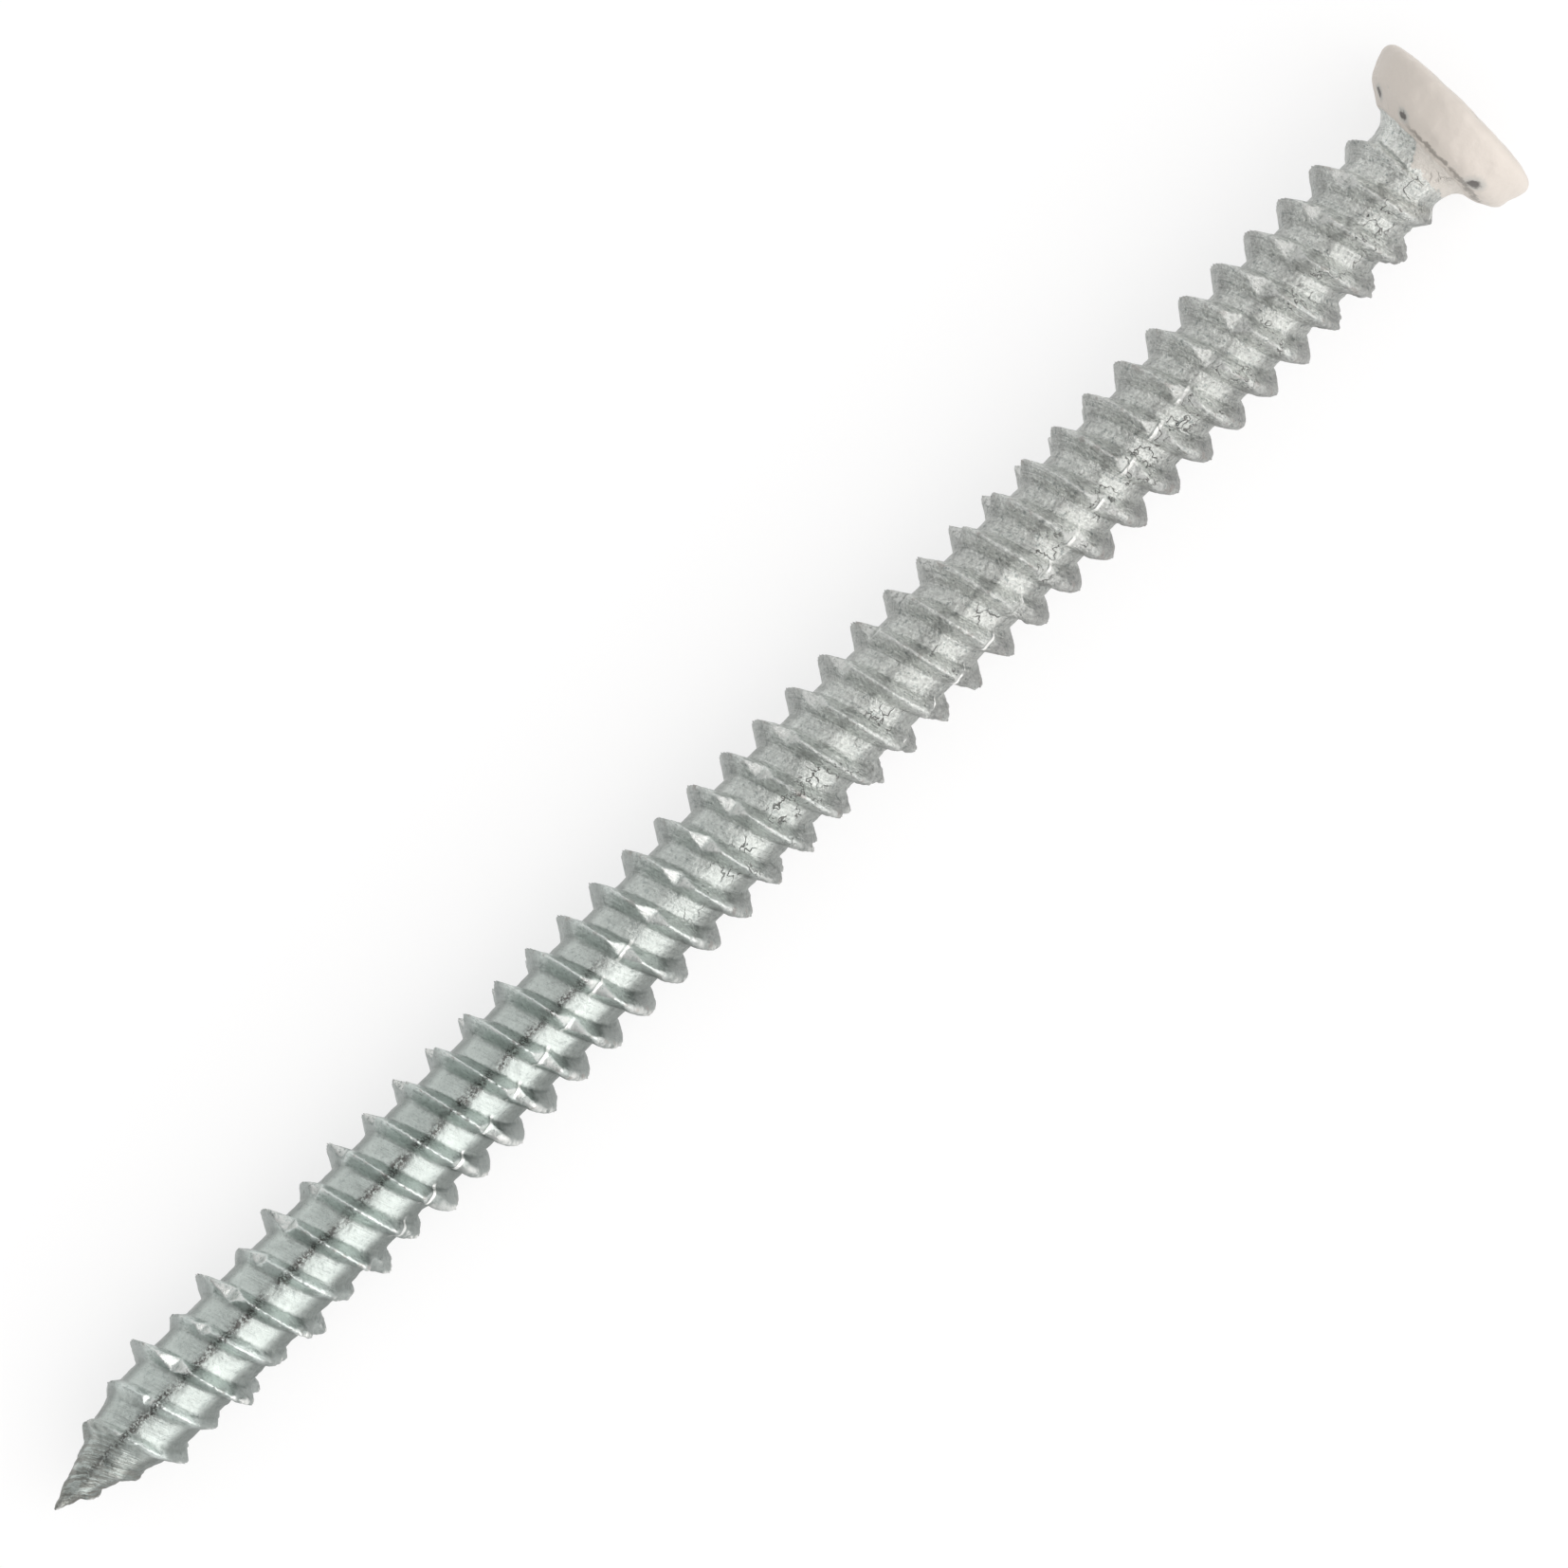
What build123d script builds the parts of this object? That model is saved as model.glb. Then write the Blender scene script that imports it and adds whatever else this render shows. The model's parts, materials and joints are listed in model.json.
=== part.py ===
from build123d import *
import os
from math import atan, cos, degrees, radians, sin, tan

# A concrete screw: one piece of steel with a sharp point, a shank with a two-start
# right-hand thread, three rows of notches cut across the thread, a plain neck, and a
# countersunk head with a six-lobe drive recess.
# Sizes are millimetres and degrees. The screw is modelled along +X with its point at X = 0,
# and angles round the axis count from +Y towards +Z. At the end it is laid on its side on
# Z = 0, on the rim of its head and on the thread behind its point.

# Shank and point
LENGTH = 112.0
CORE_DIAMETER = 5.2
POINT_ANGLE = 41.0
POINT_FLAT = 0.1

# Thread. The two starts are alike along the shank, and near the point the second is lower.
# The pairs give the height of a crest over the core, and the width of a ridge at its foot,
# at distances from the point. LAST_CRESTS counts from the end of the thread instead.
CREST_SPACING = 2.6
FIRST_CREST = 9.81
CREST_HEIGHT = 1.27
HIGH_CRESTS = ((0.8, 0.0), (2.4, 0.45), (5.5, 0.6), (9.5, CREST_HEIGHT))
LOW_CRESTS = ((1.6, 0.0), (3.4, 0.35), (7.0, 0.42), (10.0, 0.6), (20.0, 0.65), (33.0, CREST_HEIGHT))
FOOT_WIDTHS = ((0.8, 0.9), (4.0, 1.0), (30.0, 1.15), (50.0, 1.28), (98.0, 1.6))
FOOT_SHARE = 0.53
LAST_CRESTS = ((-2.0, CREST_HEIGHT), (-1.1, 0.7), (-0.3, 0.45), (0.0, 0.0))

# Notches. Their rows wind left-handed, much more slowly than the thread.
ROWS = 3
ROW_DRIFT = 2.75
ROW_FRONT = 47.25
NOTCH_HALF_ANGLE = 17.0
NOTCH_FLOOR = 0.36

# Head. From the neck a hollow leads into a steep seat, a flatter shoulder carries it out to
# the rim, and a bevel leads in to the face.
HEAD_DIAMETER = 11.4
FACE_DIAMETER = 10.4
BEVEL_HEIGHT = 0.45
RIM_HEIGHT = 0.65
SHOULDER_HEIGHT = 1.45
SEAT_DIAMETER = 10.2
SEAT_ANGLE = 120.0
NECK_RADIUS = 1.6
NECK_LENGTH = 0.1

# Drive recess, size T30
RECESS_LOBES = 6
RECESS_ACROSS_TIPS = 5.6
RECESS_ACROSS_VALLEYS = 3.95
RECESS_TIP_RADIUS = 0.46
RECESS_DEPTH = 2.8

core_radius = CORE_DIAMETER / 2
cone_length = (core_radius - POINT_FLAT / 2) / tan(radians(POINT_ANGLE / 2))
lead = 2 * CREST_SPACING
head_radius = HEAD_DIAMETER / 2
rim_x = LENGTH - BEVEL_HEIGHT - RIM_HEIGHT
seat_x = rim_x - SHOULDER_HEIGHT
seat_height = (SEAT_DIAMETER - CORE_DIAMETER) / 2 / tan(radians(SEAT_ANGLE / 2))
neck_x = seat_x - seat_height - NECK_RADIUS * tan(radians(SEAT_ANGLE / 4))
thread_end = neck_x - NECK_LENGTH


def profile(x, points):
    """The value at x on the straight runs between (x, value) points."""
    for (x0, value0), (x1, value1) in zip(points, points[1:]):
        if x < x1:
            return value0 + (value1 - value0) * max(0.0, x - x0) / (x1 - x0)
    return points[-1][1]


def core_at(x):
    return profile(x, ((0.0, POINT_FLAT / 2), (cone_length, core_radius)))


def row_angle(row, x):
    """Where a row of notches lies round the axis. Row numbers go on past one turn."""
    return 90 + 360 / ROWS * row - ROW_DRIFT * (x - ROW_FRONT)


# A spot is (x, radius, angle).
def row_spot(row, x, height=0.0):
    """The spot on a row of notches at a height over the core."""
    return (x, core_at(x) + height, row_angle(row, x))


def place(spot):
    x, radius, angle = spot
    return Vector(x, radius * cos(radians(angle)), radius * sin(radians(angle)))


def spiral(start, end):
    """A curve whose place, radius and angle change evenly from one spot to another."""
    travel = end[0] - start[0]
    growth = end[1] - start[1]
    turn = radians(end[2] - start[2])
    poles = []
    for spot, way in ((start, 1), (end, -1)):
        outward = place((0, 1, spot[2]))
        around = place((0, 1, spot[2] + 90))
        speed = Vector(travel, 0, 0) + outward * growth + around * (spot[1] * turn)
        bend = around * (2 * growth * turn) - outward * (spot[1] * turn**2)
        poles.append([place(spot), place(spot) + speed * (way / 5)])
        poles[-1].append(place(spot) + speed * (way * 2 / 5) + bend * (1 / 20))
    return Edge.make_bezier(*poles[0], *reversed(poles[1]))


def core_line(row, x_here, x_there):
    """The curve on the core from a row at one x to the next row at another."""
    return spiral(row_spot(row, x_here), row_spot(row + 1, x_there))


def skin(curve, other):
    """The ruled face between two curves."""
    return Face.make_surface_from_curves(curve, other)


def flat(*spots):
    return Face(Wire.make_polygon([place(spot) for spot in spots], close=True))


class Notch:
    """A V cut through one thread start where it meets a row. The first and the last notch
    of a start close up to the point where its ridge begins or ends."""

    def __init__(self, start, n):
        self.x = start.crossing(n)
        self.open = start.first < n < start.last
        self.height = start.height(self.x) if self.open else 0.0
        self.floor = min(NOTCH_FLOOR, self.height / 2)
        self.half_angle = NOTCH_HALF_ANGLE * (self.height - self.floor) / (CREST_HEIGHT - NOTCH_FLOOR)
        width = profile(self.x, FOOT_WIDTHS) if self.open else 0.0
        self.foot = (self.x - FOOT_SHARE * width, min(self.x + (1 - FOOT_SHARE) * width, thread_end))

    def crest(self, row, way):
        """The end of a crest, before the notch (-1) or behind it (1)."""
        x = self.x + way * lead * self.half_angle / 360
        return (x, core_at(x) + self.height, row_angle(row, self.x) + way * self.half_angle)

    def facets(self, row, way):
        """The end of a tooth: its V-face down to the floor, and the two slips beside it."""
        if not self.open:
            return []
        top = self.crest(row, way)
        foot = [row_spot(row, x) for x in self.foot]
        narrowing = 1 - self.floor / self.height
        floor = [row_spot(row, self.x + (x - self.x) * narrowing, self.floor) for x in self.foot]
        return [flat(foot[0], top, floor[0]), flat(floor[0], top, floor[1]), flat(floor[1], top, foot[1])]


class Start:
    """One of the two starts of the thread. Its crossings with the rows are numbered on."""

    def __init__(self, first_crest, crests):
        self.first_crest = first_crest
        self.crests = crests
        self.first = next(n for n in range(-99, 99) if self.crossing(n) > crests[0][0])
        self.last = next(n for n in range(999) if self.crossing(n) == thread_end)

    def crossing(self, n):
        """Where the crest meets a row, or else where the thread ends."""
        ahead = row_angle(0, 0) + 360 / lead * self.first_crest + 360 / ROWS * n
        return min(ahead / (360 / lead + ROW_DRIFT), thread_end)

    def height(self, x):
        return min(profile(x, self.crests), profile(x - thread_end, LAST_CRESTS))

    def tooth(self, n, row):
        """The faces of the ridge between notches n and n + 1, and its two foot lines."""
        here, there = Notch(self, n), Notch(self, n + 1)
        feet = [(here.foot[side], there.foot[side]) for side in (0, 1)]
        crest = spiral(here.crest(row, 1), there.crest(row + 1, -1))
        faces = [skin(core_line(row, *feet[0]), crest), skin(crest, core_line(row, *feet[1]))]
        return faces + here.facets(row, 1) + there.facets(row + 1, -1), feet


starts = (Start(FIRST_CREST, HIGH_CRESTS), Start(FIRST_CREST + CREST_SPACING, LOW_CRESTS))


def ring_arc(row, x, radius):
    """A third of a circle round the axis, from where the row meets the neck."""
    ring = Plane(origin=(x, 0, 0), x_dir=(0, 1, 0), z_dir=(1, 0, 0))
    return Edge.make_circle(radius, ring, row_angle(row, neck_x), row_angle(row + 1, neck_x))


def sector(row):
    """The faces of the shank between a row and the next, from the point to the neck. Where
    a ridge begins or ends, a seam carries its line on to a corner of the neighbouring one."""
    bands = []
    for start in starts:
        bands += [(start.crossing(n), n, start) for n in range(start.first - 1, start.last + 1)
                  if n % ROWS == row]
    bands.sort(key=lambda band: band[0])
    faces = []
    below = (0.0, 0.0)
    for index, (x, n, start) in enumerate(bands):
        if start.first <= n < start.last:
            tooth, feet = start.tooth(n, row)
            faces += tooth + [skin(core_line(row, *below), core_line(row, *feet[0]))]
            below = feet[1]
            continue
        if n < start.first:
            seam = (below[0], start.crossing(start.first))
        else:
            ahead = bands[index + 1:index + 2]
            tooth_ahead = ahead and ahead[0][1] < ahead[0][2].last
            seam = (x, Notch(ahead[0][2], ahead[0][1] + 1).foot[0] if tooth_ahead else neck_x)
        faces.append(skin(core_line(row, *below), core_line(row, *seam)))
        below = seam
    return faces + [skin(core_line(row, *below), ring_arc(row, neck_x, core_radius))]


def head_side(row):
    """The same third of the head, turned round the axis from the neck to the face."""
    def spot(x, radius):
        return place((x, radius, row_angle(row, neck_x)))

    slope = radians(SEAT_ANGLE / 2)
    hollow = [spot(neck_x + NECK_RADIUS * sin(slope * share),
                   core_radius + NECK_RADIUS * (1 - cos(slope * share))) for share in (0, 0.5, 1)]
    corners = [hollow[-1], spot(seat_x, SEAT_DIAMETER / 2), spot(rim_x, head_radius),
               spot(rim_x + RIM_HEIGHT, head_radius), spot(LENGTH, FACE_DIAMETER / 2)]
    outline = [Edge.make_three_point_arc(*hollow)]
    outline += [Edge.make_line(*pair) for pair in zip(corners, corners[1:])]
    return [Face.revolve(edge, 360 / ROWS, Axis.X) for edge in outline]


def make_recess():
    """The six-lobe hole: round tips joined by hollow arcs that touch them."""
    step = 360 / RECESS_LOBES
    valley = RECESS_ACROSS_VALLEYS / 2
    tip_centre = RECESS_ACROSS_TIPS / 2 - RECESS_TIP_RADIUS
    reach = tip_centre * cos(radians(step / 2))
    valley_radius = tip_centre**2 + valley**2 - 2 * valley * reach - RECESS_TIP_RADIUS**2
    valley_radius /= 2 * (RECESS_TIP_RADIUS - valley + reach)
    touch = RECESS_TIP_RADIUS / (RECESS_TIP_RADIUS + valley_radius)

    def polar(radius, angle):
        return Vector(radius * cos(radians(angle)), radius * sin(radians(angle)))

    def touching(lobe, side):
        centre = polar(tip_centre, lobe * step)
        hollow = polar(valley + valley_radius, (lobe + side / 2) * step)
        return centre + (hollow - centre) * touch

    with BuildPart() as recess:
        with BuildSketch(Plane(origin=(LENGTH, 0, 0), x_dir=(0, 1, 0), z_dir=(-1, 0, 0))):
            with BuildLine():
                for lobe in range(RECESS_LOBES):
                    tip = polar(RECESS_ACROSS_TIPS / 2, lobe * step)
                    ThreePointArc(touching(lobe, -1), tip, touching(lobe, 1))
                    hollow = polar(valley, (lobe + 0.5) * step)
                    ThreePointArc(touching(lobe, 1), hollow, touching(lobe + 1, -1))
            make_face()
        extrude(amount=RECESS_DEPTH)
    return recess.part


rows = range(ROWS)
faces = [face for row in rows for face in sector(row) + head_side(row)]
faces.append(Face(Wire([core_line(row, 0.0, 0.0) for row in rows])))
faces.append(Face(Wire([ring_arc(row, LENGTH, FACE_DIAMETER / 2) for row in rows])))
screw = Solid(Shell(faces)) - make_recess()

# Laid on its side, the screw leans until the rim and the first full crest both touch.
contact_x = FIRST_CREST + lead * 270 / 360
lean = degrees(atan((head_radius - core_radius - CREST_HEIGHT) / (rim_x - contact_x)))
screw = Rotation(0, -lean, 0) * screw
box = screw.bounding_box()
screw = Pos(-box.center().X, -box.center().Y, -box.min.Z) * screw

os.makedirs("parts", exist_ok=True)
export_step(screw, "parts/concrete_screw.step")
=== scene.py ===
import bpy
import json
import numpy as np
from math import asin, atan2, cos, degrees, pi, radians, sin, sqrt
from mathutils import Matrix, Vector

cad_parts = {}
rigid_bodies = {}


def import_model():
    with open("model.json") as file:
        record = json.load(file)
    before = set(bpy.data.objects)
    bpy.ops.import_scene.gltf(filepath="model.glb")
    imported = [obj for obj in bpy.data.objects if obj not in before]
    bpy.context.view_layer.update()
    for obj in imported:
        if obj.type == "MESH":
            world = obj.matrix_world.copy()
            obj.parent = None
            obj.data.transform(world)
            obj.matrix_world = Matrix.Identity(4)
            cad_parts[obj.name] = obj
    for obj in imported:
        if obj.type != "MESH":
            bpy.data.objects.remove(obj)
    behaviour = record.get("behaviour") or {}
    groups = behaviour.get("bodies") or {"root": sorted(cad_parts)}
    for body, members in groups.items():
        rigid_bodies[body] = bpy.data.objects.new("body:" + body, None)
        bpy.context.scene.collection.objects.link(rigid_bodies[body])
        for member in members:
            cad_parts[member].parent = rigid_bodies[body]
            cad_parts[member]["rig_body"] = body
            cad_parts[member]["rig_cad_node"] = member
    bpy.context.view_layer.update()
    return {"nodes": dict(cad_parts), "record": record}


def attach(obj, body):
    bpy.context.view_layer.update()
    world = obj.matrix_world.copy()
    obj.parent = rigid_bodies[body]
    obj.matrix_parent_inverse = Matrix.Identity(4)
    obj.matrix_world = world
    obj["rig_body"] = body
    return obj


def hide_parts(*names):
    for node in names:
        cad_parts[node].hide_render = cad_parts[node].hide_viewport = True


# The looks of a concrete screw that lies on a pale table: zinc plated steel with a notched
# two-start thread, and a head that was dipped in thick warm white paint.
# Blender's lengths are metres. A place on the screw is given in millimetres: along its axis
# from the point, across it to the left as the camera sees it, and up from the axis.

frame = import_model()

# The screw's sizes and places in millimetres, as in its CAD source
MM = 0.001
LENGTH = 112.0
CORE_RADIUS = 2.6
CREST_RADIUS = 3.87
LEAD = 5.2
FIRST_CREST = 9.81
RECESS_RADIUS = 2.8

# The rows of notches. Angles are in degrees from the left side up and over, so the top is at
# 90. One row crosses the top at ROW_FRONT, and each row turns back by ROW_DRIFT for every
# millimetre along the screw. The next row is ROW_SPACING further round.
TOP_ANGLE = 90.0
ROW_FRONT = 47.25
ROW_DRIFT = 2.75
ROW_SPACING = 120.0

# The screw's own axis, read from the mount at the mouth of its drive recess
drive = next(m for m in frame["record"]["mounts"] if m["name"] == "drive")
ALONG = Vector(drive["axis"]).normalized()
POINT = Vector(drive["pos_m"]) - ALONG * LENGTH * MM
LEAN = asin(ALONG.z)
UP = Vector((-ALONG.z, 0, ALONG.x))
SIDE = Vector((0, 1, 0))

# Camera: a long lens straight above, turned so that the screw rises to the right
PHOTO_SIDE = 1654
PHOTO_PIXELS_PER_MM = 18.75
POINT_PIXEL = (57.0, 1593.0)
RISE = 44.79
CAMERA_HEIGHT = 0.8


def camera_above():
    """The photograph's view, square to the screw's axis."""
    turn = radians(RISE)
    right = ALONG * cos(turn) - SIDE * sin(turn)
    up = ALONG * sin(turn) + SIDE * cos(turn)
    metres = MM / PHOTO_PIXELS_PER_MM
    middle = POINT + right * (PHOTO_SIDE / 2 - POINT_PIXEL[0]) * metres
    middle += up * (POINT_PIXEL[1] - PHOTO_SIDE / 2) * metres
    bpy.ops.object.camera_add(location=middle + UP * CAMERA_HEIGHT)
    camera = bpy.context.object
    camera.name = "camera"
    camera.rotation_euler = Matrix((right, up, UP)).transposed().to_euler()
    camera.data.lens = camera.data.sensor_width * CAMERA_HEIGHT / (PHOTO_SIDE * metres)
    camera.data.clip_start = 0.01
    bpy.context.scene.camera = camera


# Shading helpers. Each takes a material's node tree, and most give back an output socket.
def put(tree, kind, **settings):
    """A new shader node with its settings."""
    node = tree.nodes.new("ShaderNode" + kind)
    for name, value in settings.items():
        setattr(node, name, value)
    return node


def feed(tree, node, name, value):
    """Links a socket to the node's input, or sets the input to a plain value."""
    if isinstance(value, bpy.types.NodeSocket):
        tree.links.new(value, node.inputs[name])
    else:
        node.inputs[name].default_value = value


def maths(tree, operation, *values):
    node = put(tree, "Math", operation=operation)
    for place, value in enumerate(values):
        feed(tree, node, place, value)
    return node.outputs[0]


def chain(tree, operation, values):
    """One operation carried on over all the values."""
    result = values[0]
    for value in values[1:]:
        result = maths(tree, operation, result, value)
    return result


def times(tree, *values):
    return chain(tree, "MULTIPLY", values)


def plus(tree, *values):
    return chain(tree, "ADD", values)


def largest(tree, *values):
    return chain(tree, "MAXIMUM", values)


def less(tree, value, other):
    return maths(tree, "SUBTRACT", value, other)


def apart(tree, value, other):
    """How far the two values are from each other, without a sign."""
    return maths(tree, "ABSOLUTE", less(tree, value, other))


def between(tree, share, none, full):
    """A number that goes from none to full as the share goes from 0 to 1."""
    return maths(tree, "MULTIPLY_ADD", share, full - none, none)


def band(tree, value, low, high):
    """0 where value is at low, 1 where it is at high, with a soft change between."""
    node = put(tree, "MapRange", interpolation_type="SMOOTHSTEP")
    feed(tree, node, "Value", value)
    feed(tree, node, "From Min", low)
    feed(tree, node, "From Max", high)
    return node.outputs["Result"]


def stretch(tree, place, along, across, up):
    """The place with each of its directions multiplied."""
    node = put(tree, "VectorMath", operation="MULTIPLY")
    feed(tree, node, 0, place)
    feed(tree, node, 1, (along, across, up))
    return node.outputs[0]


def noise(tree, place, scale, detail=2.0, roughness=0.5):
    """A soft random pattern around 0.5."""
    node = put(tree, "TexNoise")
    feed(tree, node, "Vector", place)
    feed(tree, node, "Scale", scale)
    feed(tree, node, "Detail", detail)
    feed(tree, node, "Roughness", roughness)
    return node.outputs["Fac"]


def wander(tree, place, reach, scale, detail=2.0, roughness=0.5):
    """A soft random shift around 0, at most half the reach to either side."""
    return times(tree, less(tree, noise(tree, place, scale, detail, roughness), 0.5), reach)


def blend(tree, share, one, other, kind="MIX"):
    """One colour going over to the other as the share goes from 0 to 1."""
    node = put(tree, "Mix", data_type="RGBA", blend_type=kind)
    feed(tree, node, 0, share)
    feed(tree, node, 6, one)
    feed(tree, node, 7, other)
    return node.outputs[2]


def shade(tree, colour, level):
    """The colour with its brightness multiplied by the level."""
    grey = put(tree, "CombineColor")
    for channel in range(3):
        feed(tree, grey, channel, level)
    return blend(tree, 1.0, colour, grey.outputs[0], "MULTIPLY")


def darken(tree, colour, share):
    """The colour with a share of its brightness taken away."""
    return shade(tree, colour, less(tree, 1.0, share))


def new_material(name):
    made = bpy.data.materials.new(name)
    made.use_nodes = True
    return made, made.node_tree, made.node_tree.nodes["Principled BSDF"]


def relief(tree, shader, height):
    """A bump from a height in millimetres."""
    node = put(tree, "Bump")
    node.inputs["Strength"].default_value = 1.0
    node.inputs["Distance"].default_value = MM
    feed(tree, node, "Height", height)
    tree.links.new(node.outputs[0], shader.inputs["Normal"])


class ScrewPlace:
    """Places on the screw for a material, in millimetres, read from Object coordinates."""

    def __init__(self, tree):
        mapping = put(tree, "Mapping")
        tree.links.new(put(tree, "TexCoord").outputs["Object"], mapping.inputs["Vector"])
        mapping.inputs["Scale"].default_value = (1 / MM,) * 3
        mapping.inputs["Rotation"].default_value = (0, LEAN, 0)
        mapping.inputs["Location"].default_value = -(Matrix.Rotation(LEAN, 3, "Y") @ POINT) / MM
        self.spot = mapping.outputs[0]
        parts = put(tree, "SeparateXYZ")
        tree.links.new(self.spot, parts.inputs[0])
        self.along, self.across, self.up = parts.outputs
        square = plus(tree, times(tree, self.across, self.across), times(tree, self.up, self.up))
        self.radius = maths(tree, "SQRT", square)
        # 1 on the left side and -1 on the right, and 1 along the top and -1 underneath
        self.left = maths(tree, "DIVIDE", self.across, self.radius)
        self.top = maths(tree, "DIVIDE", self.up, self.radius)
        # The same place turned back with the thread, so that a pattern winds as it does
        winding = put(tree, "VectorRotate", rotation_type="X_AXIS")
        tree.links.new(self.spot, winding.inputs["Vector"])
        tree.links.new(times(tree, self.along, -2 * pi / LEAD), winding.inputs["Angle"])
        self.wound = winding.outputs[0]


CORE_TEAL = (0.49, 0.535, 0.51, 1)
CORE_GREY = (0.68, 0.695, 0.67, 1)
# The flanks are lighter than the core: painted light that offsets the shade they lie in
FLANK_TEAL = (0.60, 0.655, 0.63, 1)
FLANK_GREY = (0.69, 0.705, 0.68, 1)
STREAK_TEAL = (0.22, 0.26, 0.255, 1)
# Pale grey for rubbed crests, and for painted highlights on crests and notch facets
WORN_AND_HIGHLIGHT_GREY = (0.72, 0.73, 0.71, 1)
# Burrs painted as bright glints
BURR_GLINT = (0.95, 0.95, 0.93, 1)
# Painted shade in hollows, along the neck's groove and beside burrs
PAINTED_SHADE = (0.20, 0.225, 0.215, 1)
# Brown soil on the point, and painted shade in the crease at the paint's lip
SOIL_AND_SHADE = (0.17, 0.155, 0.135, 1)
# Near black for cracks and chips, and for specks that are partly a painted dark reflection
DARK_MARK_AND_REFLECTION = (0.065, 0.056, 0.052, 1)
RUST_SHADE = (0.26, 0.22, 0.20, 1)
BARE_GREY = (0.40, 0.41, 0.39, 1)
PAINT = (0.64, 0.585, 0.53, 1)
PAINT_SHADE = (0.575, 0.53, 0.48, 1)
SMEAR = (0.66, 0.625, 0.575, 1)

# Where each mark comes up along the screw: it is absent at the first place and full at the
# second
HEAD_FINISH = (30.0, 75.0)
SCORED_POINT = (7.5, 2.5)
BROWN_POINT = (2.0, 0.3)
SPECKS_BEGIN = (1.0, 5.0)
SPECKS_END = (48.0, 40.0)
BURRS_BEGIN = (22.0, 28.0)
CRACKS_BEGIN = (44.0, 56.0)
FLANKS_END = (107.2, 106.6)
PALE_NECK = (106.4, 107.4)
STAINED_LIP = (109.3, 108.7)

# Places along the neck: a groove, the edge of the smeared paint, and the paint's lip
GROOVE = 107.05
SMEAR_EDGE = 107.35
LIP = 108.66

# Chips in the paint: along, across, up, size
CHIPS = ((109.0, 4.1, 1.7, 0.36), (108.95, 2.2, 3.75, 0.34), (109.05, -3.3, 3.45, 0.50))


def speckled_line(tree, at):
    """Dark specks in a line along the top of the screw's front half: partly pits, partly a painted
    dark reflection of the camera, which lies along there.
    """
    specks = noise(tree, at.spot, 6.0, 4.0, 0.7)
    aside = plus(tree, wander(tree, at.spot, 0.8, 0.9), at.across)
    near = band(tree, apart(tree, aside, 0.13), 0.50, 0.05)
    patchy = band(tree, noise(tree, at.spot, 0.55), 0.30, 0.52)
    front = times(tree, band(tree, at.along, *SPECKS_END), band(tree, at.along, *SPECKS_BEGIN),
                  band(tree, at.top, 0.0, 0.5))
    return times(tree, band(tree, specks, 0.58, 0.46), near, patchy, front)


def cracks(tree, at):
    """Short crooked cracks on the crown of the core, further back: thin lines where a noise
    passes through its middle value."""
    crooked = band(tree, apart(tree, noise(tree, at.spot, 0.8, 3.0, 0.55), 0.5), 0.02, 0.0)
    patches = band(tree, noise(tree, at.spot, 0.5, 1.0), 0.44, 0.52)
    back = times(tree, band(tree, at.along, *CRACKS_BEGIN), band(tree, at.top, 0.2, 0.6))
    right = times(tree, band(tree, at.left, 0.0, -0.2), band(tree, at.left, -0.8, -0.65))
    return times(tree, crooked, patches, back, right)


def notch_dashes(tree, at):
    """Burrs along the floors of the notches to the right of the top, painted as bright glints, and
    beside each a line of painted shade. Gives back both."""
    angle = times(tree, maths(tree, "ARCTAN2", at.up, at.across), degrees(1))
    row = maths(tree, "MULTIPLY_ADD", less(tree, at.along, ROW_FRONT), ROW_DRIFT, angle)
    row = maths(tree, "WRAP", less(tree, row, TOP_ANGLE), ROW_SPACING / 2, -ROW_SPACING / 2)
    aside = plus(tree, times(tree, row, at.radius, radians(1)), wander(tree, at.spot, 0.15, 2.5))
    # The two starts put a crest at every half lead
    crest = maths(tree, "MULTIPLY_ADD", angle, -LEAD / 360, less(tree, at.along, FIRST_CREST))
    crest = maths(tree, "ABSOLUTE", maths(tree, "WRAP", crest, LEAD / 4, -LEAD / 4))
    here = times(tree, band(tree, crest, 0.85, 0.55), band(tree, at.left, 0.1, -0.1),
                 band(tree, at.along, *BURRS_BEGIN), band(tree, at.top, 0.1, 0.3),
                 band(tree, noise(tree, at.spot, 1.2), 0.38, 0.48))
    bright = band(tree, apart(tree, aside, 0.0), 0.13, 0.06)
    dark = band(tree, apart(tree, aside, -0.17), 0.10, 0.04)
    return times(tree, bright, here), times(tree, dark, here)


def neck_smear(tree, at):
    """Where the head's paint ran on over the neck, to the right of the top."""
    ragged = wander(tree, at.spot, 1.6, 1.3, 4.0, 0.6)
    bare = times(tree, band(tree, at.left, -0.1, 0.35), 1.3)
    edge = plus(tree, ragged, bare, SMEAR_EDGE)
    return band(tree, less(tree, at.along, edge), 0.0, 0.18)


def lip_crease_shade(tree, at):
    """Painted shade in the ragged crease between the head's paint and the neck, right of the top.
    """
    aside = plus(tree, wander(tree, at.spot, 0.5, 2.0, 3.0, 0.6), less(tree, at.along, LIP))
    near = band(tree, apart(tree, aside, 0.0), 0.15, 0.03)
    gaps = band(tree, noise(tree, at.spot, 1.5, 3.0, 0.6), 0.34, 0.46)
    return times(tree, near, gaps, band(tree, at.left, 0.55, 0.25), band(tree, at.top, -0.1, 0.3))


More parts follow.
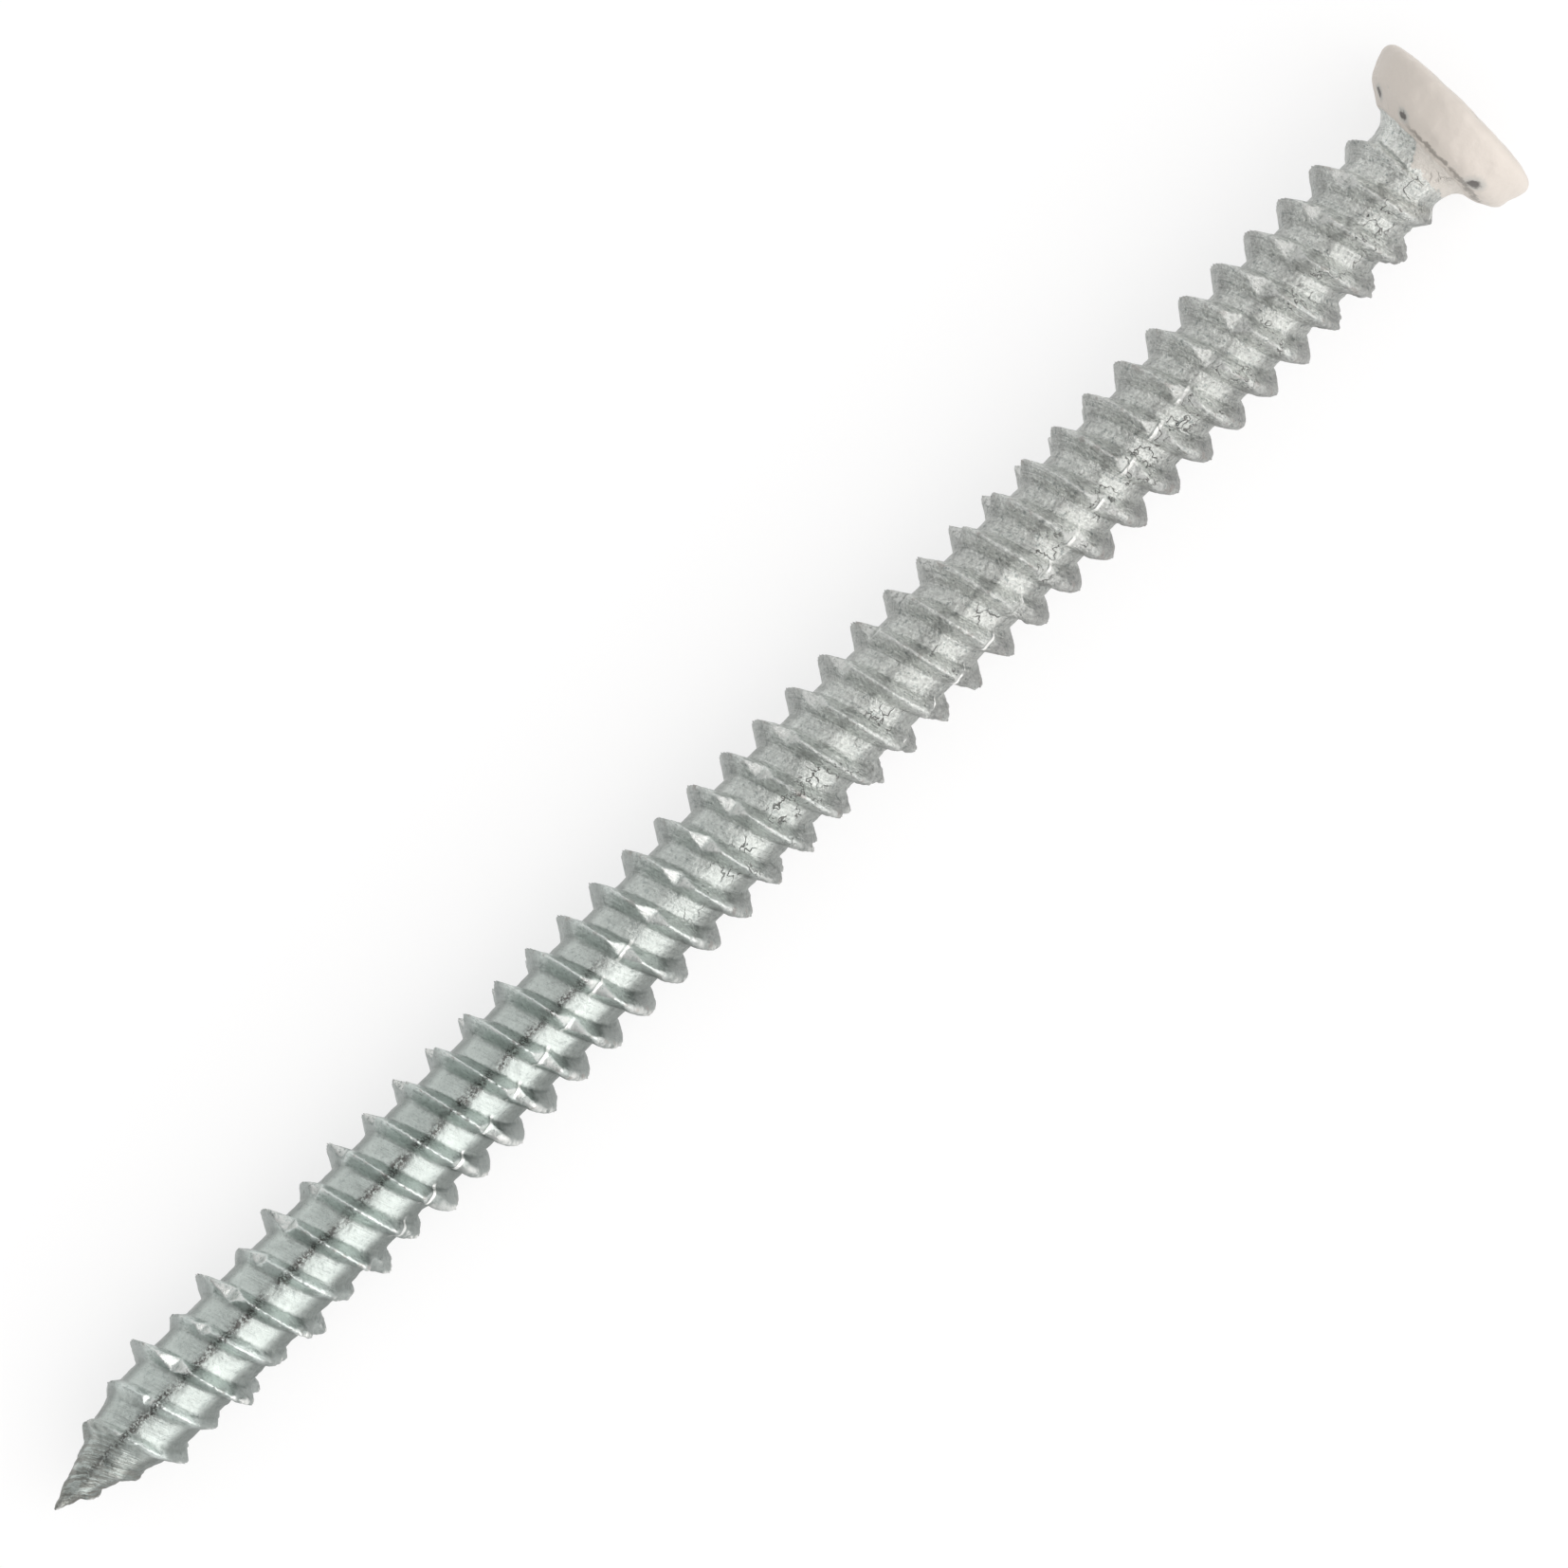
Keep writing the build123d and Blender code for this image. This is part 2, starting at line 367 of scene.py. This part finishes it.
class ZincPatterns:
    """The patterns that more than one layer of the zinc uses."""

    def __init__(self, tree, at):
        self.head_end = band(tree, at.along, *HEAD_FINISH)
        self.grain = noise(tree, at.spot, 5.0, 4.0, 0.7)
        self.streaks = noise(tree, stretch(tree, at.wound, 0.35, 1.0, 1.0), 2.6, 4.0, 0.65)
        self.scores = noise(tree, stretch(tree, at.wound, 0.3, 1.0, 1.0), 3.5, 3.0, 0.6)
        self.point = band(tree, at.along, *SCORED_POINT)
        # The lobes down the right side, which get painted shade and less metal
        self.lobes = times(tree, band(tree, at.left, -0.76, -0.88), band(tree, at.radius, 2.8, 3.1))
        self.cracks = cracks(tree, at)
        self.smear = neck_smear(tree, at)


def zinc_ground(tree, at, marks):
    """The plating before wear: core and flanks, the flanks with painted light that offsets their
    shade, broad clouds, streaks, grain and pocks.
    """
    # Flanks take a lighter copy of the colour: painted light against their shade
    flank = times(tree, band(tree, at.radius, CORE_RADIUS + 0.05, CORE_RADIUS + 0.3),
                  band(tree, at.along, *FLANKS_END))
    colour = blend(tree, flank, blend(tree, marks.head_end, CORE_TEAL, CORE_GREY),
                   blend(tree, marks.head_end, FLANK_TEAL, FLANK_GREY))
    colour = shade(tree, colour, between(tree, noise(tree, at.spot, 0.7, 3.0), 0.83, 1.19))
    dark_streaks = times(tree, band(tree, marks.streaks, 0.52, 0.36),
                         between(tree, marks.head_end, 0.12, 0.25))
    colour = blend(tree, dark_streaks, colour, STREAK_TEAL)
    grained = times(tree, less(tree, marks.grain, 0.5), between(tree, marks.head_end, 0.6, 1.7))
    colour = shade(tree, colour, plus(tree, grained, 1.0))
    pocks = times(tree, band(tree, noise(tree, at.spot, 3.2, 3.0, 0.65), 0.43, 0.33),
                  between(tree, marks.head_end, 0.3, 0.6))
    return blend(tree, pocks, colour, STREAK_TEAL)


def painted_shade_and_reflection(tree, at, marks, colour):
    """Painted shade: a painted dark reflection of the camera boom along the top, and darker down
    both sides and on the crests at the lower right, where the metal mirrors dark surroundings.
    """
    # Painted dark reflection of the camera boom along the top, mostly towards the head
    aside = plus(tree, wander(tree, at.spot, 2.4, 1.0, 3.0, 0.6), at.across)
    painted_boom_reflection = times(tree, band(tree, apart(tree, aside, 0.12), 0.55, 0.0), marks.head_end,
                 band(tree, at.top, 0.0, 0.5), 0.3)
    colour = darken(tree, colour, painted_boom_reflection)
    # Painted shade down both sides, where the metal mirrors dark surroundings
    sides = largest(tree, band(tree, at.left, -0.62, -0.84),
                    times(tree, band(tree, at.left, 0.76, 0.94), 0.85))
    sides = times(tree, sides, between(tree, marks.head_end, 0.50, 0.36))
    # Painted shade on the lobes at the lower right as well
    return darken(tree, colour, largest(tree, sides, times(tree, marks.lobes, 0.54)))


def scored_point(tree, at, marks, colour):
    """The point, scored round by the rolling and brownish at its very end."""
    soiled = largest(tree, times(tree, marks.point, band(tree, marks.scores, 0.56, 0.44)),
                     band(tree, at.along, *BROWN_POINT))
    return blend(tree, times(tree, soiled, 0.6), colour, SOIL_AND_SHADE)


def crest_wear_highlight_and_shade(tree, at, marks, colour):
    """Crests partly rubbed pale and partly given a painted highlight, notch facets given a painted
    highlight, and painted shade in the hollows, by the attributes of the mesh.
    """
    standing = put(tree, "Attribute", attribute_name="standing").outputs["Fac"]
    cut = put(tree, "Attribute", attribute_name="cut").outputs["Fac"]
    worn = band(tree, noise(tree, at.spot, 1.1, 3.0, 0.6), 0.36, 0.5)
    # The crests are partly rubbed pale and partly given a painted highlight, which is left off down
    # the right side towards the head
    unlit_and_unrubbed = times(tree, marks.head_end, band(tree, at.left, -0.3, -0.6), 0.75)
    crests = times(tree, band(tree, standing, 0.008, 0.02), worn, less(tree, 1.0, unlit_and_unrubbed), 0.8)
    colour = blend(tree, crests, colour, WORN_AND_HIGHLIGHT_GREY)
    # Painted highlight on the notch facets
    facets = times(tree, band(tree, cut, 0.25, 0.5), band(tree, at.left, -0.85, -0.6),
                   band(tree, marks.grain, 0.34, 0.58), 0.9)
    colour = blend(tree, facets, colour, WORN_AND_HIGHLIGHT_GREY)
    # Painted shade in the hollows
    return blend(tree, times(tree, band(tree, standing, -0.004, -0.014), 0.45), colour, PAINTED_SHADE)


def single_marks(tree, at, marks, colour):
    """Specks that are partly a painted dark reflection, cracks, burrs painted as glints with lines
    of painted shade, and brown traces on the crests.
    """
    # Dark specks along the top, partly a painted dark reflection
    colour = blend(tree, times(tree, speckled_line(tree, at), 0.85), colour, DARK_MARK_AND_REFLECTION)
    colour = blend(tree, times(tree, marks.cracks, 0.75), colour, DARK_MARK_AND_REFLECTION)
    bright_dash, dark_dash = notch_dashes(tree, at)
    # Painted shade beside the burrs, and their painted glints
    colour = blend(tree, times(tree, dark_dash, 0.6), colour, PAINTED_SHADE)
    colour = blend(tree, bright_dash, colour, BURR_GLINT)
    brown = times(tree, band(tree, noise(tree, at.spot, 1.6), 0.58, 0.66),
                  band(tree, at.radius, CREST_RADIUS - 0.5, CREST_RADIUS - 0.1))
    return blend(tree, times(tree, brown, 0.4), colour, RUST_SHADE)


def neck_marks(tree, at, marks, colour):
    """The neck is paler, with painted shade along a groove, the smear of paint, and painted shade
    in the crease at its lip.
    """
    colour = shade(tree, colour, between(tree, band(tree, at.along, *PALE_NECK), 1.0, 1.25))
    # Painted shade along the groove
    aside = plus(tree, wander(tree, at.spot, 0.5, 1.8, 3.0, 0.6), less(tree, at.along, GROOVE))
    groove = times(tree, band(tree, apart(tree, aside, 0.0), 0.14, 0.03), 0.6,
                   band(tree, at.left, -0.15, 0.05), band(tree, at.left, 0.9, 0.75))
    colour = blend(tree, groove, colour, PAINTED_SHADE)
    colour = blend(tree, marks.smear, colour, SMEAR)
    # Painted shade in the crease at the lip
    return blend(tree, times(tree, lip_crease_shade(tree, at), 0.7), colour, SOIL_AND_SHADE)


def zinc_roughness(tree, at, marks):
    """Rougher towards the head and with the grain, and at least so rough on the smear, down
    the right side and at the point."""
    rough = plus(tree, between(tree, marks.head_end, 0.26, 0.32),
                 times(tree, less(tree, marks.grain, 0.35), 0.5))
    right_side = times(tree, band(tree, at.left, -0.7, -0.85), 0.55)
    return largest(tree, rough, times(tree, marks.smear, 0.55), right_side,
                   times(tree, marks.point, 0.34))


def zinc_height(tree, at, marks):
    """Pits, dents, furrows, cracks and scores, in millimetres."""
    pits = times(tree, marks.grain, between(tree, marks.head_end, 0.03, 0.11))
    dents = times(tree, noise(tree, at.spot, 1.6, 3.0), between(tree, marks.head_end, 0.05, 0.17))
    furrows = times(tree, marks.streaks, between(tree, marks.head_end, 0.02, 0.08))
    scores = times(tree, marks.scores, marks.point, 0.15)
    return plus(tree, pits, dents, furrows, times(tree, marks.cracks, -0.08), scores)


def zinc():
    """Dull zinc, grained and streaked along the thread, greener near the point, rougher and more
    marked towards the head, rubbed pale on the crests, with painted highlights on crests and notch
    facets, painted shade down the sides and in the hollows, and a painted dark reflection along the
    top."""
    made, tree, shader = new_material("zinc_plate")
    at = ScrewPlace(tree)
    marks = ZincPatterns(tree, at)
    colour = zinc_ground(tree, at, marks)
    for layer in (painted_shade_and_reflection, scored_point, crest_wear_highlight_and_shade, single_marks, neck_marks):
        colour = layer(tree, at, marks, colour)
    tree.links.new(colour, shader.inputs["Base Color"])
    metal = times(tree, less(tree, 1.0, marks.smear), between(tree, marks.lobes, 1.0, 0.4))
    tree.links.new(metal, shader.inputs["Metallic"])
    tree.links.new(zinc_roughness(tree, at, marks), shader.inputs["Roughness"])
    relief(tree, shader, zinc_height(tree, at, marks))
    return made


def paint_chips(tree, at):
    """Two patterns round the chips: bare through to the metal, and worn thin about them."""
    fray = wander(tree, at.spot, 0.5, 3.0, 3.0, 0.6)
    bare = 0.0
    thin = 0.0
    for along, across, up, size in CHIPS:
        away = put(tree, "VectorMath", operation="DISTANCE")
        feed(tree, away, 0, at.spot)
        feed(tree, away, 1, (along, across, up))
        away = plus(tree, away.outputs["Value"], fray)
        bare = largest(tree, bare, band(tree, away, size, size * 0.55))
        thin = largest(tree, thin, band(tree, away, size * 1.9, size * 0.9))
    return bare, thin


def thick_paint():
    """Warm white paint: soft lumps and clouds, stains near its lip, painted shade in the crease,
    and chips down to dark metal."""
    made, tree, shader = new_material("thick_paint")
    at = ScrewPlace(tree)
    colour = blend(tree, noise(tree, at.spot, 0.3, 1.0), PAINT, PAINT_SHADE)
    bare, thin = paint_chips(tree, at)
    stains = times(tree, band(tree, noise(tree, at.spot, 2.2, 4.0, 0.65), 0.60, 0.72),
                   band(tree, at.along, *STAINED_LIP), 0.5)
    colour = blend(tree, largest(tree, stains, times(tree, thin, 0.6)), colour, BARE_GREY)
    colour = blend(tree, times(tree, bare, 0.85), colour, DARK_MARK_AND_REFLECTION)
    # Painted shade in the crease at the lip
    colour = blend(tree, times(tree, lip_crease_shade(tree, at), 0.7), colour, SOIL_AND_SHADE)
    tree.links.new(colour, shader.inputs["Base Color"])
    shader.inputs["Roughness"].default_value = 0.5
    lumps = less(tree, noise(tree, at.spot, 1.6, 3.0), bare)
    relief(tree, shader, times(tree, lumps, 0.06))
    return made


# Corners of a mesh that are nearer than this, in millimetres, are joined
SAME_PLACE = 0.001


# Shaping helpers
def screw_spot(place):
    """A place on the screw in millimetres: along, across, up."""
    away = (place - POINT) / MM
    return away.dot(ALONG), away.dot(SIDE), away.dot(UP)


def apply_modifier(piece, kind, **settings):
    made = piece.modifiers.new("step", kind)
    for name, value in settings.items():
        setattr(made, name, value)
    bpy.ops.object.modifier_apply(modifier="step")


def lumpy(piece, name, size, strength, group=""):
    """Moves the surface in and out by a soft random pattern. Both values in millimetres."""
    pattern = bpy.data.textures.new(name, "CLOUDS")
    pattern.noise_scale = size * MM
    apply_modifier(piece, "DISPLACE", texture=pattern, texture_coords="LOCAL",
                   strength=strength * MM, mid_level=0.5, vertex_group=group)


def ramp(value, low, high):
    """0 where the value is at low or beyond, 1 where it is at high or beyond."""
    return min(1.0, max(0.0, (value - low) / (high - low)))


def group_corners(steel, name, weight):
    """A vertex group whose weights come from each corner's place on the screw."""
    group = steel.vertex_groups.new(name=name)
    for corner in steel.data.vertices:
        value = weight(*screw_spot(corner.co))
        if value > 0:
            group.add([corner.index], value, "REPLACE")


def select_where(steel, wanted):
    """Selects the corners of the mesh whose place along the screw and radius pass the test."""
    bpy.ops.object.mode_set(mode="EDIT")
    bpy.ops.mesh.select_mode(type="VERT")
    bpy.ops.mesh.select_all(action="DESELECT")
    bpy.ops.object.mode_set(mode="OBJECT")
    for corner in steel.data.vertices:
        along, across, up = screw_spot(corner.co)
        corner.select = wanted(along, sqrt(across**2 + up**2))
    bpy.ops.object.mode_set(mode="EDIT")


def copy_of_node(node_name, name):
    """A free copy of a CAD node, with the corners of its faces joined."""
    cad = frame["nodes"][node_name]
    bpy.ops.object.select_all(action="DESELECT")
    cad.select_set(True)
    bpy.context.view_layer.objects.active = cad
    bpy.ops.object.duplicate()
    piece = bpy.context.object
    piece.name = name
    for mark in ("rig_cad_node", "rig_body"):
        del piece[mark]
    bpy.ops.object.mode_set(mode="EDIT")
    bpy.ops.mesh.select_all(action="SELECT")
    bpy.ops.mesh.remove_doubles(threshold=SAME_PLACE * MM)
    bpy.ops.object.mode_set(mode="OBJECT")
    return piece


# The room that the head leaves for the paint. In millimetres along the screw: where the rim
# begins, from where on the head is set back and how far, and from where on there is only
# the flat face once that is done. Then the shares of their width that rim and face keep.
RIM = 109.2
SETBACK_START = 111.5
SETBACK = 0.25
FACE = 111.7
RIM_WIDTH = 0.975
FACE_WIDTH = 0.93


def tuck_in_head(steel):
    """Draws the rim and the face of the head in a little, to leave room for the paint."""
    middle = POINT + ALONG * LENGTH * MM
    outside = RECESS_RADIUS + 0.2
    select_where(steel, lambda along, radius: along > RIM and radius > outside)
    bpy.ops.transform.resize(value=(1, RIM_WIDTH, RIM_WIDTH), center_override=middle)
    select_where(steel, lambda along, radius: along > SETBACK_START)
    bpy.ops.transform.translate(value=ALONG * -SETBACK * MM)
    select_where(steel, lambda along, radius: along > FACE and radius > outside)
    bpy.ops.transform.resize(value=(1, FACE_WIDTH, FACE_WIDTH), center_override=middle)
    bpy.ops.object.mode_set(mode="OBJECT")


# The wider notches near the point, in millimetres: the stretch that has them, their floor
# above the core, how steeply their sides rise from it, and where they start to get
# shallower and over what length they would lose 1 mm
WIDE_NOTCHES = (5.5, 27.0)
NOTCH_FLOOR = 0.12
NOTCH_SLOPE = 0.7
FADING = 23.0
FADING_LENGTH = 4.0


def open_notches(steel):
    """Widens the notches near the point, where they are cut deeper into the low ridges."""
    half = ROW_SPACING / 2
    for corner in steel.data.vertices:
        along, across, up = screw_spot(corner.co)
        radius = sqrt(across**2 + up**2)
        if not WIDE_NOTCHES[0] < along < WIDE_NOTCHES[1] or radius < CORE_RADIUS + 0.1:
            continue
        row = TOP_ANGLE - ROW_DRIFT * (along - ROW_FRONT)
        away = abs((degrees(atan2(up, across)) - row + half) % ROW_SPACING - half)
        height = NOTCH_FLOOR + NOTCH_SLOPE * radians(away) * radius
        height += max(0.0, (along - FADING) / FADING_LENGTH)
        if radius > CORE_RADIUS + height:
            axis = POINT + ALONG * along * MM
            corner.co = axis + (corner.co - axis) * ((CORE_RADIUS + height) / radius)


# The stretch of the screw that has full ridges with notches, and the stretches where the
# crests down the right side are worn at all, are mostly blunt, and are mostly ragged
NOTCHED = (7.0, 106.5)
WORN_SIDE = (11.0, 105.0)
BLUNT = ((27.0, 53.0), (74.0, 97.0))
RAGGED = ((11.0, 27.0), (53.0, 70.0), (97.0, 105.0))


def inside(along, stretches):
    return any(start < along < end for start, end in stretches)


def right_side(along, across):
    """1 on the crests down the right side, where the real ones are worn."""
    return ramp(-across, 2.1, 2.9) if inside(along, (WORN_SIDE,)) else 0.0


def blunt_crests(along, across, up):
    return right_side(along, across) * (1.0 if inside(along, BLUNT) else 0.4)


def ragged_crests(along, across, up):
    return right_side(along, across) * (1.0 if inside(along, RAGGED) else 0.2)


def rough_point(along, across, up):
    return ramp(along, 7.0, 5.0)


def numbers(items, name, width, kind=float):
    """One property of all of a mesh's items as an array, a row for each."""
    found = np.empty(len(items) * width, dtype=kind)
    items.foreach_get(name, found)
    return found.reshape(-1, width)


def average_of_neighbours(mesh):
    """A function that replaces each corner's value by the mean of those it has an edge to."""
    one, other = numbers(mesh.edges, "vertices", 2, int).T
    size = len(mesh.vertices)
    count = np.bincount(one, minlength=size) + np.bincount(other, minlength=size)

    def average(values):
        total = np.bincount(one, values[other], size)
        total += np.bincount(other, values[one], size)
        return total / count

    return average


def mark_edges(steel):
    """Writes two attributes: how far each place stands out of its surroundings, above 0 on
    crests and below 0 in hollows, and how much it faces along the thread, as a notch does."""
    mesh = steel.data
    places = numbers(mesh.vertices, "co", 3)
    outward = numbers(mesh.vertex_normals, "vector", 3)
    average = average_of_neighbours(mesh)
    middle = np.stack([average(places[:, axis]) for axis in range(3)], axis=1)
    standing = ((places - middle) * outward).sum(axis=1) / MM
    for _ in range(2):
        standing = average(standing)
    mesh.attributes.new("standing", "FLOAT", "POINT").data.foreach_set("value", standing)
    away = (places - np.array(POINT)) / MM
    along, across, up = away @ np.array(ALONG), away @ np.array(SIDE), away @ np.array(UP)
    winding = np.outer(across, UP) - np.outer(up, SIDE)
    winding = winding * 2 * pi / LEAD + np.array(ALONG)
    winding /= np.linalg.norm(winding, axis=1)[:, None]
    cut = np.abs((outward * winding).sum(axis=1))
    # The core, the point and the neck have no notches
    core = np.hypot(across, up) < CORE_RADIUS + 0.1
    cut[core | (along < NOTCHED[0]) | (along > NOTCHED[1])] = 0.0
    mesh.attributes.new("cut", "FLOAT", "POINT").data.foreach_set("value", average(cut))


# The size of the remeshed faces in millimetres, and the share of them that is kept at last
FINE_FACE = 0.12
KEPT_FACES = 0.31


def wear(steel):
    """Even, fine faces that soften every edge as the plating does, and then uneven wear."""
    apply_modifier(steel, "REMESH", mode="VOXEL", voxel_size=FINE_FACE * MM)
    open_notches(steel)
    apply_modifier(steel, "SMOOTH", factor=0.5, iterations=1)
    group_corners(steel, "blunt", blunt_crests)
    group_corners(steel, "ragged", ragged_crests)
    group_corners(steel, "point", rough_point)
    apply_modifier(steel, "DISPLACE", vertex_group="blunt", strength=0.20 * MM, mid_level=0.0)
    apply_modifier(steel, "SMOOTH", vertex_group="blunt", factor=0.5, iterations=12)
    lumpy(steel, "ragged_crests", 0.5, 0.30, "ragged")
    lumpy(steel, "rough_point", 0.8, 0.30, "point")
    lumpy(steel, "uneven_crests", 0.6, 0.10)
    mark_edges(steel)
    apply_modifier(steel, "DECIMATE", ratio=KEPT_FACES)
    steel.vertex_groups.clear()


def screw_steel():
    """The steel itself: the CAD screw with worn, uneven edges."""
    steel = copy_of_node("concrete_screw", "screw_steel")
    tuck_in_head(steel)
    wear(steel)
    bpy.ops.object.shade_smooth()
    steel.data.materials.clear()
    steel.data.materials.append(zinc())
    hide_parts("concrete_screw")
    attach(steel, "root")


RING_CORNERS = 72

# The paint's rings from its lip on the neck to the mouth of the recess and back inside the
# steel: place along the axis, radius, and how far the ring sits to the right
PAINT_RINGS = (
    (108.40, 3.05, 0.10), (108.50, 3.62, 0.12), (108.55, 3.84, 0.16), (108.68, 4.06, 0.20),
    (108.85, 4.36, 0.24), (109.05, 4.69, 0.24), (109.25, 4.94, 0.17), (109.50, 5.17, 0.10),
    (110.00, 5.36, 0.05), (110.50, 5.57, 0.03), (110.85, 5.67, 0.0), (111.10, 5.69, 0.0),
    (111.32, 5.63, 0.0), (111.50, 5.47, 0.0), (111.66, 5.15, 0.0), (111.78, 4.50, 0.0),
    (111.85, 3.40, 0.0), (111.84, 3.02, 0.0), (111.72, 2.92, 0.0), (111.40, 2.90, 0.0),
    (110.50, 2.92, 0.0), (109.40, 2.95, 0.0), (108.80, 2.90, 0.0), (108.45, 2.85, 0.05))


def closed_rings(name, rings):
    """A closed mesh round its own Z axis: each ring is drawn on from the one before, and the
    last is joined to the first."""
    bpy.ops.object.select_all(action="DESELECT")
    along, radius, aside = rings[0]
    bpy.ops.mesh.primitive_circle_add(vertices=RING_CORNERS, radius=radius * MM,
                                      location=(-aside * MM, 0, along * MM))
    piece = bpy.context.object
    piece.name = name
    bpy.ops.object.transform_apply(location=True)
    bpy.ops.object.mode_set(mode="EDIT")
    bpy.ops.mesh.select_all(action="SELECT")
    for before, ring in zip(rings, rings[1:] + rings[:1]):
        step = Vector((before[2] - ring[2], 0, ring[0] - before[0])) * MM
        bpy.ops.mesh.extrude_edges_move(TRANSFORM_OT_translate={"value": step})
        growth = ring[1] / before[1]
        bpy.ops.transform.resize(value=(growth, growth, 1),
                                 center_override=(-ring[2] * MM, 0, ring[0] * MM))
    bpy.ops.mesh.select_all(action="SELECT")
    bpy.ops.mesh.remove_doubles(threshold=SAME_PLACE * MM)
    bpy.ops.mesh.normals_make_consistent(inside=False)
    bpy.ops.object.mode_set(mode="OBJECT")
    return piece


def head_paint():
    """The coat on the head, thicker to the right of the neck."""
    coat = closed_rings("head_paint_coat", PAINT_RINGS)
    # Its own axis is laid along the screw's
    turned = Matrix((SIDE, UP, ALONG)).transposed().to_4x4()
    coat.matrix_world = Matrix.Translation(POINT) @ turned
    bpy.ops.object.transform_apply(location=True, rotation=True, scale=True)
    apply_modifier(coat, "SUBSURF", levels=2)
    lumpy(coat, "paint_lumps", 2.2, 0.22)
    lumpy(coat, "paint_ripple", 0.6, 0.06)
    bpy.ops.object.shade_smooth()
    coat.data.materials.append(thick_paint())
    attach(coat, "root")


def seen_or_mirrored(tree):
    """1 for rays from the camera and for mirrored ones, otherwise 0."""
    rays = put(tree, "LightPath")
    return largest(tree, rays.outputs["Is Camera Ray"], rays.outputs["Is Glossy Ray"],
                   rays.outputs["Is Transmission Ray"])


def table():
    bpy.ops.mesh.primitive_plane_add(size=6.0, location=(0, 0, 0))
    floor = bpy.context.object
    floor.name = "table"
    made, tree, shader = new_material("pale_table")
    shader.inputs["Base Color"].default_value = (0.93, 0.93, 0.93, 1)
    shader.inputs["Roughness"].default_value = 0.9
    # Seen mostly as plain white, so that the shadow stays but is hardly seen
    white = put(tree, "Emission")
    mixed = put(tree, "MixShader")
    feed(tree, mixed, 0, times(tree, seen_or_mirrored(tree), 0.7))
    tree.links.new(shader.outputs[0], mixed.inputs[1])
    tree.links.new(white.outputs[0], mixed.inputs[2])
    tree.links.new(mixed.outputs[0], tree.nodes["Material Output"].inputs["Surface"])
    floor.data.materials.append(made)


def softbox(name, towards, distance, width, length, power, colour):
    """A lamp panel in the given direction from the screw, turned to face it."""
    towards = Vector(towards).normalized()
    bpy.ops.object.light_add(type="AREA", location=towards * distance)
    lamp = bpy.context.object
    lamp.name = name
    lamp.rotation_euler = towards.to_track_quat("Z", "X").to_euler()
    lamp.data.shape = "RECTANGLE"
    lamp.data.size = length
    lamp.data.size_y = width
    lamp.data.energy = power
    lamp.data.color = colour
    lamp.visible_camera = False


def room_light():
    """White wherever the room is seen or mirrored, and a plain level for the rest."""
    world = bpy.data.worlds.new("room")
    bpy.context.scene.world = world
    world.use_nodes = True
    tree = world.node_tree
    background = tree.nodes["Background"]
    level = between(tree, seen_or_mirrored(tree), 0.78, 1.0)
    parts = put(tree, "SeparateXYZ")
    tree.links.new(put(tree, "TexCoord").outputs["Generated"], parts.inputs[0])
    along, across, up = parts.outputs
    # Metal also mirrors the dark camera and its boom, which hang along the screw
    boom = times(tree, band(tree, apart(tree, across, 0.07), 0.24, 0.12),
                 band(tree, up, 0.3, 0.6), 0.75)
    # The room is darker beyond the screw's point
    dim = times(tree, band(tree, along, 0.1, -0.6), 0.55)
    mirrored = put(tree, "LightPath").outputs["Is Glossy Ray"]
    level = less(tree, level, times(tree, largest(tree, boom, dim), mirrored))
    tree.links.new(level, background.inputs["Strength"])
    background.inputs["Color"].default_value = (1, 1, 1, 1)


camera_above()
screw_steel()
head_paint()
table()
room_light()
softbox("side_panel", towards=(0, -0.69, 0.725), distance=0.7, width=0.75, length=1.4,
        power=3.7, colour=(1.0, 0.965, 0.96))
softbox("head_panel", towards=(0.8, -0.4, 0.5), distance=0.7, width=0.6, length=0.6,
        power=1.2, colour=(1.0, 0.97, 0.96))
bpy.context.scene.view_settings.view_transform = "Standard"
